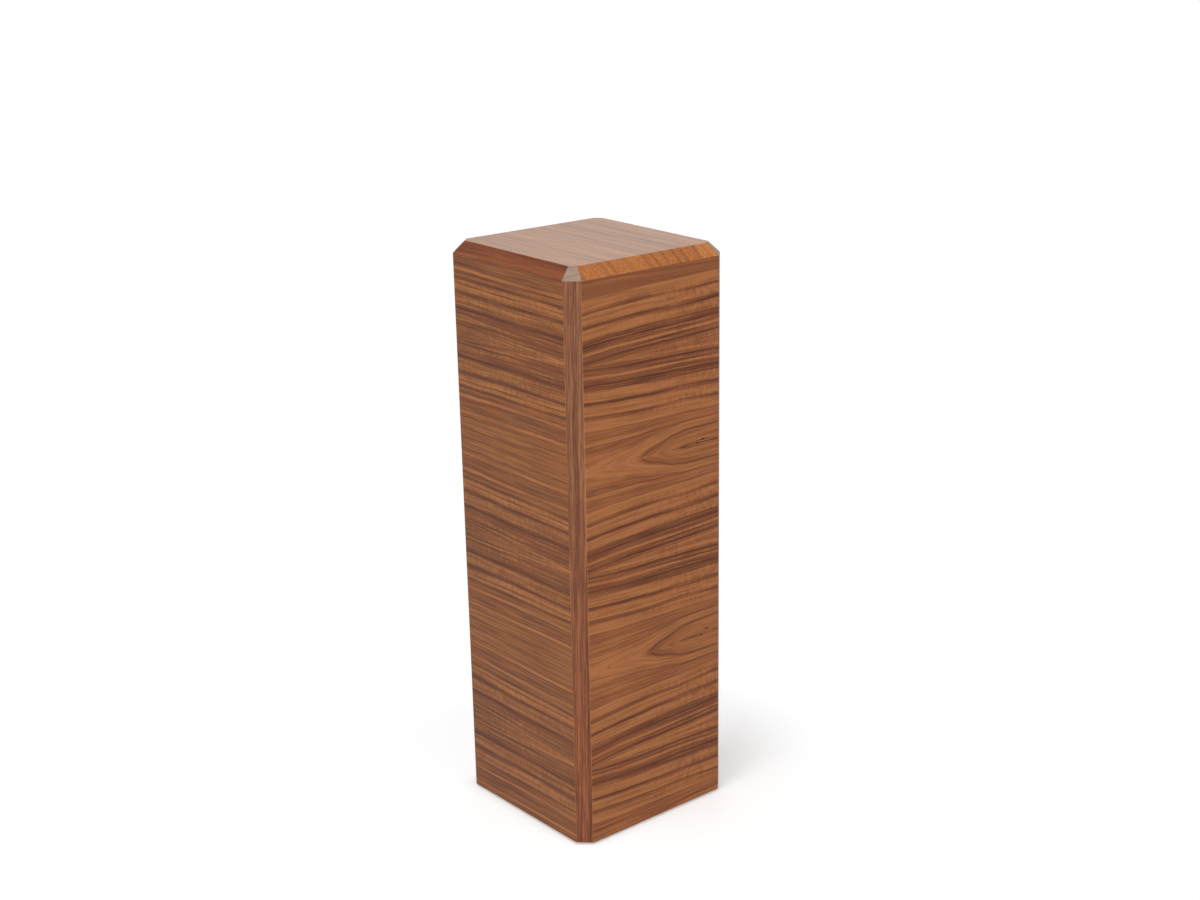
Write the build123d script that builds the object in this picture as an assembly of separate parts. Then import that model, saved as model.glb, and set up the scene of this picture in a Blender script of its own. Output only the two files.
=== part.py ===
from build123d import *
import os
from math import sqrt

# Display pedestal: a hollow veneered column with faceted corners, under a solid wood top whose whole
# edge is bevelled at 45 degrees. Millimetres. The origin is on the floor under the middle of the
# column, +Z is up, and the front is the side towards -Y.

# Column as a whole
column_width = 304.8
column_depth = 304.8
column_height = 914.4  # bottom edge of the carcass to the display surface
facet_setback = 20.0  # from the square corner to where the corner facet starts, on each side
arris_radius = 1.0  # sanded rounding of the outer arrises

# Top board: two staves that run from front to rear
top_thickness = 18.0  # also the run of the bevel, which takes the board's whole edge
narrow_stave_width = 54.0

# Side panels
core_thickness = 18.0
face_veneer_thickness = 0.6
backing_veneer_thickness = 0.6
leaf_height = 160.0  # one veneer leaf, laid with its grain level
first_leaf_height_front = 126.0  # what is left of the uppermost leaf on each side
first_leaf_height_right = 138.0
first_leaf_height_rear = 132.0
first_leaf_height_left = 120.5

# Corner posts and the loose tongues that join them to the panels
post_size = 38.0
tongue_thickness = 6.0
tongue_reach = 9.0  # into the post, and as far into the panel
tongue_end_clearance = 0.5

# Cleats inside the column
cleat_size = 18.0
cleat_end_clearance = 0.4

# Base panel
base_thickness = 12.0
base_recess = 10.0  # bottom edge of the carcass up to the base panel
base_fit_clearance = 0.4

# Pan head wood screws
screw_radius = 2.0
screw_head_radius = 4.0
screw_head_height = 2.6
screw_head_edge = 0.8  # height of the head's upright rim, below its dome
screw_recess_width = 1.0
screw_recess_length = 4.4
screw_recess_depth = 1.4
screw_tip_length = 5.0
screw_bite = 12.0  # depth of the screw in the piece that it pulls against
screw_hole_clearance = 0.1
screw_slot_travel = 6.0  # lets the top board move with the seasons
top_screw_offset = 85.0
cleat_screw_offset = 45.0
base_screw_offset = 60.0
base_cleat_screw_offset = 90.0

# Nail-on glides
glide_radius = 7.5
glide_height = 4.0
glide_edge_radius = 1.2
glide_inset = 24.0  # from each outer face to the glide's centre
nail_radius = 1.1
nail_length = 18.0  # shank above the glide
nail_tip_length = 3.0
nail_head_radius = 3.2
nail_head_height = 1.0
nail_head_clearance = 0.1
nail_head_recess = 0.6  # from the sole of the glide up to the nail's head

# Levels and derived sizes
carcass_bottom = glide_height
carcass_top = glide_height + column_height - top_thickness
carcass_height = carcass_top - carcass_bottom
panel_thickness = face_veneer_thickness + core_thickness + backing_veneer_thickness
post_reach = face_veneer_thickness + post_size - panel_thickness  # post past the panel's inner face
base_bottom = carcass_bottom + base_recess
base_top = base_bottom + base_thickness
tongue_depth_from_face = face_veneer_thickness + core_thickness / 2
margin = 5.0  # how far a cutting block runs past what it cuts

# Each side: its turn from the front, its width, and the distance from the middle to its outer face
sides = {
    "front": (0, column_width, column_depth / 2),
    "right": (90, column_depth, column_width / 2),
    "rear": (180, column_width, column_depth / 2),
    "left": (270, column_depth, column_width / 2),
}
first_leaf_heights = {
    "front": first_leaf_height_front,
    "right": first_leaf_height_right,
    "rear": first_leaf_height_rear,
    "left": first_leaf_height_left,
}
# The side met at the left end and at the right end of each side, seen from outside
side_ends = {
    "front": ("left", "right"),
    "right": ("front", "rear"),
    "rear": ("right", "left"),
    "left": ("rear", "front"),
}
corners = {
    "front_left": (-1, -1),
    "front_right": (1, -1),
    "rear_right": (1, 1),
    "rear_left": (-1, 1),
}


# General shapes

def block(x_range, y_range, z_range):
    """A box between two values along each axis."""
    ranges = (x_range, y_range, z_range)
    sizes = [high - low for low, high in ranges]
    centre = [(low + high) / 2 for low, high in ranges]
    return Pos(*centre) * Box(*sizes)


def on_side(side, shape):
    """Turns a shape made for the front so that it stands at the given side."""
    return Rot(0, 0, sides[side][0]) * shape


def group(solids):
    """Separate solids that share one node."""
    return Compound(children=list(solids))


def faceted_outline(inset):
    """The column's outline from above, moved inwards by inset on its sides and facets alike."""
    half_x = column_width / 2 - inset
    half_y = column_depth / 2 - inset
    setback = facet_setback - (2 - sqrt(2)) * inset
    points = [
        (setback - half_x, -half_y),
        (half_x - setback, -half_y),
        (half_x, setback - half_y),
        (half_x, half_y - setback),
        (half_x - setback, half_y),
        (setback - half_x, half_y),
        (-half_x, half_y - setback),
        (-half_x, setback - half_y),
    ]
    return make_face(Polyline(*points, close=True))


def carcass_envelope():
    """The outside of the carcass, with the arrises beside its facets rounded."""
    prism = extrude(Pos(0, 0, carcass_bottom) * faceted_outline(0), carcass_height)
    return fillet(prism.edges().filter_by(Axis.Z), arris_radius)


# Screws, nails and their holes: each is made pointing up, with the seat of its head at the origin

def pan_head_screw(length):
    """A wood screw with a domed head, a cross recess and a pointed tip."""
    dome_height = screw_head_height - screw_head_edge
    dome_radius = (screw_head_radius**2 + dome_height**2) / (2 * dome_height)
    rim = Pos(0, 0, -screw_head_edge / 2) * Cylinder(screw_head_radius, screw_head_edge)
    dome = Pos(0, 0, dome_radius - screw_head_height) * Sphere(dome_radius)
    half = screw_head_radius
    below_rim = block((-half, half), (-half, half), (-screw_head_height, -screw_head_edge))
    head = rim + (dome & below_rim & Pos(0, 0, -screw_head_height / 2) * Cylinder(half, screw_head_height))
    for turn in (0, 90):
        recess = Box(screw_recess_length, screw_recess_width, 2 * screw_recess_depth)
        head -= Pos(0, 0, -screw_head_height) * Rot(0, 0, turn) * recess
    straight = length - screw_tip_length
    shank = Pos(0, 0, straight / 2) * Cylinder(screw_radius, straight)
    tip = Pos(0, 0, straight + screw_tip_length / 2) * Cone(screw_radius, screw_radius / 5, screw_tip_length)
    return head + shank + tip


def screw_hole(length):
    """The hole for a screw's shank, a little wider and deeper than the shank."""
    radius = screw_radius + screw_hole_clearance
    depth = length + screw_hole_clearance
    return Pos(0, 0, depth / 2) * Cylinder(radius, depth)


def screw_slot(depth):
    """A slot along X through a piece of the given depth, in which a screw can move sideways."""
    width = 2 * (screw_radius + screw_hole_clearance)
    return extrude(SlotCenterToCenter(screw_slot_travel, width), depth)


def glide_nail():
    """A nail with a flat head, made with the top of the glide at the origin."""
    head_top = nail_head_recess + nail_head_height - glide_height
    straight_top = nail_length - nail_tip_length
    straight = straight_top - head_top
    head = Pos(0, 0, head_top - nail_head_height / 2) * Cylinder(nail_head_radius, nail_head_height)
    shank = Pos(0, 0, head_top + straight / 2) * Cylinder(nail_radius, straight)
    tip = Pos(0, 0, straight_top + nail_tip_length / 2) * Cone(nail_radius, nail_radius / 5, nail_tip_length)
    return head + shank + tip


def nail_hole():
    """The hole in a post's foot for a nail's shank."""
    radius = nail_radius + nail_head_clearance
    depth = nail_length + nail_head_clearance
    return Pos(0, 0, depth / 2) * Cylinder(radius, depth)


# Where the screws stand: a list of locations for each set, on the front side unless it says otherwise

def upward(x, y, z):
    """A screw driven up from a level seat."""
    return Pos(x, y, z)


def outward(x, y, z):
    """A screw driven out through a cleat into the front panel's core."""
    return Pos(x, y, z) * Rot(90, 0, 0)


def inner_face(side):
    """Distance from the middle of the column to the inner face of a side's panel."""
    return sides[side][2] - panel_thickness


def top_screw_seats():
    y = cleat_size / 2 - inner_face("front")
    return [upward(x, y, carcass_top - cleat_size) for x in (-top_screw_offset, 0, top_screw_offset)]


def top_cleat_screw_seats():
    y = cleat_size - inner_face("front")
    return [outward(x, y, carcass_top - cleat_size / 2) for x in (-cleat_screw_offset, cleat_screw_offset)]


def base_screw_seats(side):
    y = cleat_size / 2 - inner_face(side)
    return [upward(x, y, base_bottom) for x in (-base_screw_offset, base_screw_offset)]


def base_cleat_screw_seats(side):
    y = cleat_size - inner_face(side)
    offsets = (-base_cleat_screw_offset, base_cleat_screw_offset)
    return [outward(x, y, base_top + cleat_size / 2) for x in offsets]


top_screw_length = cleat_size + screw_bite
cleat_screw_length = cleat_size + backing_veneer_thickness + screw_bite
base_screw_length = base_thickness + screw_bite


# Side panels

def core_half_length(side):
    """Half the length of a panel's core, which fills the space between two posts."""
    return sides[side][1] / 2 - face_veneer_thickness - post_size


def tongue_block(side, end, extra):
    """A tongue at one end of a side's panel, or the groove for it when extra is added to its reach."""
    joint_x = end * core_half_length(side)
    middle_y = tongue_depth_from_face - sides[side][2]
    x_range = (joint_x - tongue_reach - extra, joint_x + tongue_reach + extra)
    y_range = (middle_y - tongue_thickness / 2, middle_y + tongue_thickness / 2)
    return on_side(side, block(x_range, y_range, (carcass_bottom, carcass_top)))


def all_tongue_grooves():
    return [tongue_block(side, end, tongue_end_clearance) for side in sides for end in (-1, 1)]


def panel_core(side):
    """A side's core, with its grooves and the pilot holes for the cleats' screws."""
    half = core_half_length(side)
    outer_y = face_veneer_thickness - sides[side][2]
    core = block((-half, half), (outer_y, outer_y + core_thickness), (carcass_bottom, carcass_top))
    seats = list(base_cleat_screw_seats(side))
    if side in ("front", "rear"):
        seats += top_cleat_screw_seats()
    for seat in seats:
        core -= seat * screw_hole(cleat_screw_length)
    core = on_side(side, core)
    for end in (-1, 1):
        core -= tongue_block(side, end, tongue_end_clearance)
    return core


def backing_veneer(side):
    """The veneer on the inner face of a panel, which balances the one outside."""
    half = core_half_length(side)
    inner_y = -inner_face(side)
    y_range = (inner_y - backing_veneer_thickness, inner_y)
    veneer = block((-half, half), y_range, (carcass_bottom, carcass_top))
    seats = list(base_cleat_screw_seats(side))
    if side in ("front", "rear"):
        seats += top_cleat_screw_seats()
    for seat in seats:
        veneer -= seat * screw_hole(cleat_screw_length)
    return on_side(side, veneer)


def leaf_levels(first_height):
    """Levels of the seams between veneer leaves, from the top of the carcass down to its bottom."""
    levels = [carcass_top]
    next_level = carcass_top - first_height
    while next_level > carcass_bottom:
        levels.append(next_level)
        next_level -= leaf_height
    return levels + [carcass_bottom]


def face_veneer(side, envelope):
    """The veneer on a side, from arris to arris, as book-matched leaves one above the other."""
    width, distance = sides[side][1:]
    y_range = (-distance - margin, face_veneer_thickness - distance)
    levels = leaf_levels(first_leaf_heights[side])
    leaves = []
    for high, low in zip(levels, levels[1:]):
        slab = on_side(side, block((-width / 2, width / 2), y_range, (low, high)))
        leaves.append(envelope & slab)
    return group(leaves)


# Corner posts

def corner_post(corner, envelope, grooves):
    """A square post with its outer corner cut away as the facet, grooved for its two tongues."""
    x_sign, y_sign = corners[corner]
    ranges = []
    for sign, half in ((x_sign, column_width / 2), (y_sign, column_depth / 2)):
        outer = half - face_veneer_thickness
        inner = outer - post_size
        ranges.append(sorted((sign * inner, sign * outer)))
    post = envelope & block(*ranges, (carcass_bottom, carcass_top))
    for groove in grooves:
        post -= groove
    x, y = glide_centre(corner)
    return post - Pos(x, y, carcass_bottom) * nail_hole()


# Top board

def bevelled_board():
    """The whole top board: the column's outline below, drawn in by its own thickness above."""
    lower = Pos(0, 0, carcass_top) * faceted_outline(0)
    upper = Pos(0, 0, carcass_top + top_thickness) * faceted_outline(top_thickness)
    board = loft([lower, upper], ruled=True)
    level_below = carcass_top + top_thickness / 4
    raised = [edge for edge in board.edges() if edge.center().Z > level_below]
    return fillet(raised, arris_radius)


def top_staves():
    """The wide and the narrow stave, glued along one joint, with pilot holes for their screws."""
    board = bevelled_board()
    for side in ("front", "rear"):
        for seat in top_screw_seats():
            board -= on_side(side, seat * screw_hole(top_screw_length))
    joint_x = column_width / 2 - narrow_stave_width
    y_range = (-column_depth / 2 - margin, column_depth / 2 + margin)
    z_range = (carcass_top - margin, carcass_top + top_thickness + margin)
    wide = block((-column_width / 2 - margin, joint_x), y_range, z_range)
    narrow = block((joint_x, column_width / 2 + margin), y_range, z_range)
    return {"top_stave_wide": board & wide, "top_stave_narrow": board & narrow}


# Cleats and base panel

def cleat_half_length(side):
    """Front and rear cleats reach the posts; side cleats also stay between those two."""
    in_the_way = post_reach
    if side in ("left", "right"):
        in_the_way = max(post_reach, cleat_size)
    return sides[side][1] / 2 - panel_thickness - in_the_way - cleat_end_clearance


def cleat(side, bottom):
    """A square batten along the inner face of a panel."""
    half = cleat_half_length(side)
    inner_y = -inner_face(side)
    return block((-half, half), (inner_y, inner_y + cleat_size), (bottom, bottom + cleat_size))


def top_cleat(side):
    """A batten that holds the top board, with a round middle hole and a slot near each end."""
    batten = cleat(side, carcass_top - cleat_size)
    for seat in top_cleat_screw_seats():
        batten -= seat * screw_hole(cleat_screw_length)
    left, middle, right = top_screw_seats()
    batten -= left * screw_slot(cleat_size)
    batten -= middle * screw_hole(top_screw_length)
    batten -= right * screw_slot(cleat_size)
    return on_side(side, batten)


def base_cleat(side):
    """A batten that the base panel is screwed up against."""
    batten = cleat(side, base_top)
    for seat in base_cleat_screw_seats(side):
        batten -= seat * screw_hole(cleat_screw_length)
    for seat in base_screw_seats(side):
        batten -= seat * screw_hole(base_screw_length)
    return on_side(side, batten)


def base_panel():
    """The board that closes the bottom, notched round the four posts."""
    half_x = inner_face("left") - base_fit_clearance
    half_y = inner_face("front") - base_fit_clearance
    panel = block((-half_x, half_x), (-half_y, half_y), (base_bottom, base_top))
    notch = post_reach + base_fit_clearance
    for x_sign, y_sign in corners.values():
        x_range = sorted((x_sign * (inner_face("left") - notch), x_sign * (half_x + margin)))
        y_range = sorted((y_sign * (inner_face("front") - notch), y_sign * (half_y + margin)))
        panel -= block(x_range, y_range, (base_bottom - margin, base_top + margin))
    for side in sides:
        for seat in base_screw_seats(side):
            panel -= on_side(side, seat * screw_hole(base_screw_length))
    return panel


# Fasteners, each set as one node

def screws_at(length, seats_of_sides):
    """One screw of the given length at each seat of each side named."""
    screw = pan_head_screw(length)
    return group(on_side(side, seat * screw) for side, seats in seats_of_sides for seat in seats)


def fasteners():
    ends = ("front", "rear")
    return {
        "top_screws": screws_at(top_screw_length, [(side, top_screw_seats()) for side in ends]),
        "top_cleat_screws": screws_at(cleat_screw_length, [(side, top_cleat_screw_seats()) for side in ends]),
        "base_screws": screws_at(base_screw_length, [(side, base_screw_seats(side)) for side in sides]),
        "base_cleat_screws": screws_at(
            cleat_screw_length, [(side, base_cleat_screw_seats(side)) for side in sides]
        ),
        "glide_nails": group(
            Pos(*glide_centre(corner), carcass_bottom) * glide_nail() for corner in corners
        ),
    }


# Glides

def glide_centre(corner):
    x_sign, y_sign = corners[corner]
    return x_sign * (column_width / 2 - glide_inset), y_sign * (column_depth / 2 - glide_inset)


def glide(corner):
    """A moulded foot with a rounded sole edge, bored for its nail."""
    x, y = glide_centre(corner)
    foot = Cylinder(glide_radius, glide_height)
    foot = fillet(foot.edges().sort_by(Axis.Z)[0], glide_edge_radius)
    foot -= Cylinder(nail_radius + nail_head_clearance, glide_height)
    pocket_depth = nail_head_recess + nail_head_height
    pocket_centre = (pocket_depth - glide_height) / 2
    foot -= Pos(0, 0, pocket_centre) * Cylinder(nail_head_radius + nail_head_clearance, pocket_depth)
    return Pos(x, y, glide_height / 2) * foot


# The whole pedestal, one entry for each node

def pedestal():
    envelope = carcass_envelope()
    grooves = all_tongue_grooves()
    nodes = {}
    for corner in corners:
        nodes[f"corner_post_{corner}"] = corner_post(corner, envelope, grooves)
        nodes[f"glide_{corner}"] = glide(corner)
    for side in sides:
        nodes[f"panel_core_{side}"] = panel_core(side)
        nodes[f"face_veneer_{side}"] = face_veneer(side, envelope)
        nodes[f"backing_veneer_{side}"] = backing_veneer(side)
        nodes[f"base_cleat_{side}"] = base_cleat(side)
        for end, name in zip((-1, 1), side_ends[side]):
            nodes[f"tongue_{side}_panel_{name}_end"] = tongue_block(side, end, 0)
    nodes.update(top_staves())
    for side in ("front", "rear"):
        nodes[f"top_cleat_{side}"] = top_cleat(side)
    nodes["base_panel"] = base_panel()
    nodes.update(fasteners())
    return nodes


os.makedirs("parts", exist_ok=True)
for node, shape in pedestal().items():
    export_step(shape, f"parts/{node}.step")
    print(node, len(shape.solids()), round(shape.volume, 1))
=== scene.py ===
import math

import bpy
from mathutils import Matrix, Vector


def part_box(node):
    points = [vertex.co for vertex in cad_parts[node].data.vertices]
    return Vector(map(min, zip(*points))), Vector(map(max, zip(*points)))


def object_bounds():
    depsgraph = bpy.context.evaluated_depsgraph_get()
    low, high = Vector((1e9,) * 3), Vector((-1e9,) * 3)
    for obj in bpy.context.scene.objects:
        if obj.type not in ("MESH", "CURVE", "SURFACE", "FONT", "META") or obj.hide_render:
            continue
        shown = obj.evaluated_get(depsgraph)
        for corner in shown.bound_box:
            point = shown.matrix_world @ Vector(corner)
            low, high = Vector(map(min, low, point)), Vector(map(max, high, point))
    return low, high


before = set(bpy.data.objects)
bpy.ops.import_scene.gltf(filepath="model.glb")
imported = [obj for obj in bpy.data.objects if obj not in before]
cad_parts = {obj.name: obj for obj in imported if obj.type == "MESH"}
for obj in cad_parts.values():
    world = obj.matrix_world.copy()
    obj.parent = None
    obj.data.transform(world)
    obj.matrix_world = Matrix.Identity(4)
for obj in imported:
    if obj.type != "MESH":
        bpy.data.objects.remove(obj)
cadLow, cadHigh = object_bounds()
print("frame loaded:", len(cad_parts), "nodes")

# The finishes of a veneered walnut pedestal. Patterns are drawn in millimetres, read from Object
# coordinates, so every piece carries the figure that its own place in the wood gives it.

millimetres = 1000.0  # in a metre
half = (cadHigh - cadLow).x / 2 * millimetres  # from the middle to each outer face
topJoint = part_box("face_veneer_front")[1].z * millimetres  # where the top board sits on the carcass


# Helpers for node trees

def addNode(tree, kind, **settings):
    node = tree.nodes.new("ShaderNode" + kind)
    for name, value in settings.items():
        setattr(node, name, value)
    return node


def plug(tree, socket, value):
    # a link from another node, or a plain value
    if isinstance(value, bpy.types.NodeSocket):
        tree.links.new(value, socket)
    elif socket.type == "RGBA" and len(value) == 3:
        socket.default_value = (*value, 1.0)
    else:
        socket.default_value = value


def calc(tree, operation, *values, clamp=False):
    node = addNode(tree, "Math", operation=operation, use_clamp=clamp)
    for socket, value in zip(node.inputs, values):
        plug(tree, socket, value)
    return node.outputs[0]


def times(tree, first, *others):
    total = first
    for value in others:
        total = calc(tree, "MULTIPLY", total, value)
    return total


def addUp(tree, first, *others):
    # first + each (value, share) pair, value times share
    total = first
    for value, share in others:
        total = calc(tree, "MULTIPLY_ADD", value, share, total)
    return total


def rise(tree, value, low, high):
    # a smooth step: 0 at low, 1 at high, and low may be the larger one
    node = addNode(tree, "MapRange", interpolation_type="SMOOTHSTEP")
    ends = (high, low, 1.0, 0.0) if low > high else (low, high, 0.0, 1.0)
    for socket, plain in zip(node.inputs[1:5], ends):
        plug(tree, socket, plain)
    plug(tree, node.inputs[0], value)
    return node.outputs[0]


def hump(tree, value, centre, reach):
    # a bell: 1 at centre, falling as exp(-(distance / reach) squared)
    apart = calc(tree, "DIVIDE", calc(tree, "SUBTRACT", value, centre), reach)
    return calc(tree, "EXPONENT", times(tree, apart, apart, -1.0))


def distanceFrom(tree, first, second, centre):
    # how far a point of two coordinates lies from a centre
    aside = calc(tree, "SUBTRACT", first, centre[0])
    ahead = calc(tree, "SUBTRACT", second, centre[1])
    return calc(tree, "SQRT", addUp(tree, times(tree, aside, aside), (ahead, ahead)))


def vector(tree, x, y, z):
    node = addNode(tree, "CombineXYZ")
    for socket, value in zip(node.inputs, (x, y, z)):
        plug(tree, socket, value)
    return node.outputs[0]


def parts(tree, place):
    node = addNode(tree, "SeparateXYZ")
    plug(tree, node.inputs[0], place)
    return node.outputs


def cloud(tree, place, detail=2.0, roughness=0.5):
    # smooth noise from about -1 to 1, whose features are about one unit of place apart
    node = addNode(tree, "TexNoise")
    settings = {"Vector": place, "Scale": 1.0, "Detail": detail, "Roughness": roughness}
    for name, value in settings.items():
        plug(tree, node.inputs[name], value)
    return calc(tree, "MULTIPLY_ADD", node.outputs[0], 4.0, -2.0)


def clouded(tree, x, y, z, sizes, detail=2.0, roughness=0.5):
    # the same noise with features of these sizes along the three coordinates
    place = vector(tree, *(calc(tree, "DIVIDE", value, size) for value, size in zip((x, y, z), sizes)))
    return cloud(tree, place, detail, roughness)


def mix(tree, share, first, second):
    node = addNode(tree, "Mix", data_type="RGBA")
    factor, firstColour, secondColour = node.inputs[0], node.inputs[6], node.inputs[7]
    for socket, value in ((factor, share), (firstColour, first), (secondColour, second)):
        plug(tree, socket, value)
    return node.outputs[2]


def choose(tree, share, first, second):
    # the first shader where share is 0, and the second where it is 1
    node = addNode(tree, "MixShader")
    for socket, value in zip(node.inputs, (share, first, second)):
        plug(tree, socket, value)
    return node.outputs[0]


def curve(tree, value, points):
    # a value drawn through given points: points are (place, value) pairs, joined smoothly and level
    # past both ends
    start, span = points[0][0], points[-1][0] - points[0][0]
    low = min(level for place, level in points)
    size = max(level for place, level in points) - low
    node = addNode(tree, "FloatCurve")
    node.mapping.extend = "HORIZONTAL"
    line = node.mapping.curves[0]
    for place, level in points[1:-1]:
        line.points.new((place - start) / span, (level - low) / size)
    for point, (place, level) in zip(line.points, points):
        point.location = ((place - start) / span, (level - low) / size)
        point.handle_type = "AUTO_CLAMPED"
    node.mapping.update()
    plug(tree, node.inputs["Value"], calc(tree, "DIVIDE", calc(tree, "SUBTRACT", value, start), span))
    return calc(tree, "MULTIPLY_ADD", node.outputs[0], size, low)


def paint(red, green, blue):
    # a colour as written for a screen, 0 to 255, in the linear values that shaders take
    def linear(part):
        share = part / 255
        return share / 12.92 if share <= 0.04045 else ((share + 0.055) / 1.055) ** 2.4
    return linear(red), linear(green), linear(blue)


def shaded(tree, tone, shades):
    # a colour for each tone from 0 to 1: shades are (tone, colour for paint) pairs
    node = addNode(tree, "ValToRGB")
    line = node.color_ramp.elements
    while len(line) < len(shades):
        line.new(0.5)
    for element, (place, shade) in zip(line, shades):
        element.position = place
        element.color = (*paint(*shade), 1.0)
    plug(tree, node.inputs[0], tone)
    return node.outputs[0]


def newGroup(name, inputs, outputs):
    # inputs and outputs are (name, kind) pairs, kind being Float or Vector
    group = bpy.data.node_groups.new(name, "ShaderNodeTree")
    for direction, sockets in (("INPUT", inputs), ("OUTPUT", outputs)):
        for label, kind in sockets:
            group.interface.new_socket(name=label, in_out=direction, socket_type="NodeSocket" + kind)
    return group, group.nodes.new("NodeGroupInput").outputs, group.nodes.new("NodeGroupOutput").inputs


def useGroup(tree, group, **values):
    # a value is given by its socket's name, written as one word
    node = tree.nodes.new("ShaderNodeGroup")
    node.node_tree = group
    for socket in node.inputs:
        word = socket.name.replace(" ", "")
        word = word[0].lower() + word[1:]
        if word in values:
            plug(tree, socket, values[word])
    return node.outputs


def newMaterial(name, ior=1.5):
    material = bpy.data.materials.new(name)
    material.use_nodes = True
    shader = material.node_tree.nodes["Principled BSDF"]
    shader.inputs["IOR"].default_value = ior
    return material, material.node_tree, shader


def turnedPlace(tree, turn=(0, 0, 0)):
    # Object coordinates in millimetres, turned by these degrees about x, y and z
    mapping = addNode(tree, "Mapping")
    mapping.inputs["Scale"].default_value = (millimetres,) * 3
    mapping.inputs["Rotation"].default_value = tuple(math.radians(angle) for angle in turn)
    plug(tree, mapping.inputs["Vector"], addNode(tree, "TexCoord").outputs["Object"])
    return mapping.outputs[0]


def finishSurface(tree, shader, colour, roughness, relief, depth):
    # depth is the height of the relief in metres
    bump = addNode(tree, "Bump")
    plug(tree, bump.inputs["Height"], relief)
    bump.inputs["Strength"].default_value = 1.0
    bump.inputs["Distance"].default_value = depth
    plug(tree, shader.inputs["Base Color"], colour)
    plug(tree, shader.inputs["Roughness"], roughness)
    plug(tree, shader.inputs["Normal"], bump.outputs[0])


# Effects that several materials share

fibreLayers = {  # sizes are the length as a share of the fibre's, and the width and thickness in mm
    "Fine": {"sizes": (0.5, 0.8, 0.8), "detail": 3.0, "roughness": 0.6},
    "Broad": {"sizes": (2.0, 3.4, 3.4), "detail": 2.0, "roughness": 0.5},
    "Patch": {"sizes": (1.2, 34.0, 34.0), "detail": 2.0, "roughness": 0.5},
    "Pores": {"sizes": (0.09, 0.45, 0.45), "detail": 1.0, "roughness": 0.5},
}
poreEdge = (0.62, 1.0)  # where in its noise a pore begins, and where it is fully open


def makeWoodFibre():
    # fine fibre streaks, slow clouding and short open pores, all drawn out along the grain
    group, given, made = newGroup(
        "wood fibre",
        (("Along", "Float"), ("Across", "Float"), ("Depth", "Float"), ("Fibre Length", "Float")),
        tuple((name, "Float") for name in fibreLayers),
    )
    along, across, depth, length = given[:4]
    stroke = calc(group, "DIVIDE", along, length)
    for name, layer in fibreLayers.items():
        lengthShare, width, thickness = layer["sizes"]
        part = calc(group, "DIVIDE", stroke, lengthShare)
        mask = clouded(
            group, part, across, depth, (1.0, width, thickness), layer["detail"], layer["roughness"])
        plug(group, made[name], rise(group, mask, *poreEdge) if name == "Pores" else mask)
    return group


ringBands = {
    "keeps": 420.0,  # a ring keeps its tone for about this length along the grain, mm
    "broad": 0.4, "narrow": 2.7,  # bands to the width of a ring
    "broadShare": 0.5, "middleShare": 0.5, "narrowShare": 0.3,
    "lateWood": (-0.25, -0.8),  # the tones where late wood begins, and where it is full
}


def makeRingLines():
    # growth rings of solid wood: bands of three widths along the distance from the pith
    group, given, made = newGroup(
        "ring lines",
        (("Distance", "Float"), ("Along", "Float"), ("Ring Width", "Float")),
        (("Rings", "Float"), ("Late Wood", "Float")),
    )
    distance, along, width = given[:3]
    ring = calc(group, "DIVIDE", distance, width)
    slow = calc(group, "DIVIDE", along, ringBands["keeps"])
    broadPlace = times(group, ring, ringBands["broad"])
    narrowPlace = times(group, ring, ringBands["narrow"])
    # each kind of band is read from its own level of the noise
    broad = cloud(group, vector(group, broadPlace, slow, 3.0), detail=1.0)
    middle = cloud(group, vector(group, ring, slow, 7.0), detail=1.0)
    narrow = cloud(group, vector(group, narrowPlace, slow, 11.0), detail=2.0)
    rings = addUp(group, times(group, broad, ringBands["broadShare"]),
                  (middle, ringBands["middleShare"]), (narrow, ringBands["narrowShare"]))
    plug(group, made["Rings"], rings)
    plug(group, made["Late Wood"], rise(group, rings, *ringBands["lateWood"]))
    return group


def makeLeafPlace():
    # where a point lies in book-matched veneer: the leaves mirror at each joint between two of them
    group, given, made = newGroup(
        "leaf place",
        (("Place", "Vector"), ("First Leaf", "Float"), ("Leaf Height", "Float")),
        (("Along", "Float"), ("From Joint", "Float"), ("From Middle", "Float"), ("Pair", "Float")),
    )
    place, firstLeaf, leafHeight = given[:3]
    x, _, z = parts(group, place)
    down = calc(group, "SUBTRACT", calc(group, "SUBTRACT", topJoint, z), firstLeaf)
    pairHeight = times(group, leafHeight, 2.0)
    pair = calc(group, "FLOOR", calc(group, "DIVIDE", down, pairHeight))
    middle = calc(group, "MULTIPLY_ADD", pair, pairHeight, leafHeight)
    plug(group, made["Along"], calc(group, "ADD", x, flatWidth / 2))
    plug(group, made["From Joint"], calc(group, "PINGPONG", down, leafHeight))
    plug(group, made["From Middle"], calc(group, "SUBTRACT", middle, down))
    plug(group, made["Pair"], pair)
    return group


facetSetback = 20.0  # how far each facet starts from the corner that it cuts off, mm
flatWidth = 2 * (half - facetSetback)  # of each side, between its two facets
woodFibre = makeWoodFibre()
ringLines = makeRingLines()
leafPlace = makeLeafPlace()
print("shared effects made")


# Face veneer: level grain, in book-matched leaves. "rings" gives the tone of each growth line by its
# distance in millimetres from the joint where the dark lines meet: 0 is darkest and 1 lightest.
# "drift" says how far a line has moved away from that joint, along the side from its left end.
# "arch" bends the lines round the joint of the plain edges into a cathedral, and fades away from it.
# "pairShift" moves the arch along from one pair of leaves to the next below. "knots" gives the pair,
# place along, height over the middle of the pair and size of each.

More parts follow.
